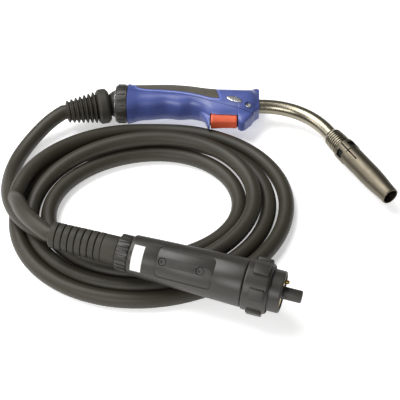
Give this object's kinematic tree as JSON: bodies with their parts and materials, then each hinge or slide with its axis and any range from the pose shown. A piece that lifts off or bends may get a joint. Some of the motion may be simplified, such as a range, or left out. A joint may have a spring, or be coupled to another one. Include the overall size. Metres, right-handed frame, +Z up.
{
  "type": "mig welding torch",
  "caption": "Gas-cooled welding torch with a swan neck and push-on nozzle, a trigger handle on a ball joint, and a coiled cable ending in a central plug.",
  "frame": {"origin": "on the floor under the middle of the torch itself, without the cable and the plug", "axes": "+X along the handle towards the nozzle, +Y away from the trigger, +Z up; the torch lies on its left side"},
  "size_m": [0.4158, 0.3313, 0.0666],
  "materials": {
    "cable_sheath": "satin rubber sheath, dark warm grey",
    "black_rubber": "satin moulded rubber",
    "black_plastic": "fine spark texture, satin",
    "blue_plastic": "semi-gloss moulded plastic, violet blue",
    "soft_grip": "matte soft-touch overmould",
    "orange_plastic": "semi-gloss moulded plastic, orange red",
    "nickel": "nickel-plated, satin brushed",
    "steel": "bright zinc",
    "brass": "turned brass",
    "copper": "drawn copper",
    "white_plastic": "plain white"
  },
  "bodies": {
    "cable_side": {"cable": "cable_sheath", "cable_core": "cable_sheath", "strain_relief": "black_rubber", "ball_joint": "black_plastic", "plug_boot": "black_rubber", "plug_cable_core": "cable_sheath", "plug_rear_collar": "black_plastic", "plug_housing_upper": "black_plastic", "plug_housing_lower": "black_plastic", "label_plate": "white_plastic", "housing_screw_1": "steel", "housing_screw_2": "steel", "plug_ring": "black_plastic", "plug_core": "brass", "gas_spigot": "black_plastic", "crimp_sleeve": "brass", "contact_spring_1": "steel", "contact_spring_2": "steel"},
    "swivel": {"swivel_ring": "steel"},
    "torch_body": {"handle_upper_shell": "blue_plastic", "handle_lower_shell": "blue_plastic", "soft_grip": "soft_grip", "badge_plate": "steel", "handle_screw_right": "steel", "handle_screw_left": "steel", "trigger_pin": "steel", "microswitch": "black_plastic", "trigger_spring": "steel", "handle_hose": "black_rubber", "rear_adaptor": "brass", "neck_nut": "brass", "neck_clamp_lower": "black_plastic", "neck_clamp_upper": "black_plastic", "swan_neck": "nickel", "inner_conductor": "copper", "nozzle_collar": "nickel", "nozzle_insulator": "black_plastic", "tip_holder": "brass", "contact_tip": "copper", "gas_diffuser": "white_plastic", "rear_collar": "black_plastic"},
    "trigger_lever": {"trigger": "orange_plastic"},
    "switch_button": {"switch_plunger": "orange_plastic"},
    "nozzle": {"gas_nozzle": "nickel"},
    "union_nut": {"plug_nut": "black_plastic"},
    "pin_one": {"contact_pin_1": "brass"},
    "pin_two": {"contact_pin_2": "brass"}
  },
  "joints": [
    {"name": "ball_yaw", "type": "hinge", "parent": "cable_side", "child": "swivel", "pos_m": [-0.11741, 0.06367, 0.022], "axis": [0, 0, 1], "range_deg": [0, 30]},
    {"name": "ball_pitch", "type": "hinge", "parent": "swivel", "child": "torch_body", "pos_m": [-0.11741, 0.06367, 0.022], "axis": [0.0297, 0.9996, 0], "range_deg": [-15, 0]},
    {"name": "trigger_press", "type": "hinge", "parent": "torch_body", "child": "trigger_lever", "pos_m": [0.01053, 0.03947, 0.022], "axis": [0, 0, -1], "range_deg": [0, 5], "stiffness_Nm_per_rad": 0.7, "springref_deg": -2.86, "deforming": ["trigger_spring"]},
    {"name": "switch_travel", "type": "slide", "parent": "torch_body", "child": "switch_button", "axis": [0.0297, 0.9996, 0], "range_m": [0, 0.002]},
    {"name": "nozzle_slide", "type": "slide", "parent": "torch_body", "child": "nozzle", "axis": [0.4955, -0.8686, 0], "range_m": [0, 0.06]},
    {"name": "union_nut_turn", "type": "hinge", "parent": "cable_side", "child": "union_nut", "pos_m": [0.02803, -0.21648, 0.03921], "axis": [0.9582, -0.2838, -0.0366], "continuous": true},
    {"name": "pin_one_press", "type": "slide", "parent": "cable_side", "child": "pin_one", "axis": [-0.9582, 0.2838, 0.0366], "range_m": [0, 0.0025], "stiffness_N_per_m": 400, "springref_m": -0.001, "deforming": ["contact_spring_1"]},
    {"name": "pin_two_press", "type": "slide", "parent": "cable_side", "child": "pin_two", "axis": [-0.9582, 0.2838, 0.0366], "range_m": [0, 0.0025], "stiffness_N_per_m": 400, "springref_m": -0.001, "deforming": ["contact_spring_2"]}
  ],
  "couplings": [
    {"joint": "switch_travel", "follows": "trigger_press", "m_per_rad": 0.0216}
  ]
}
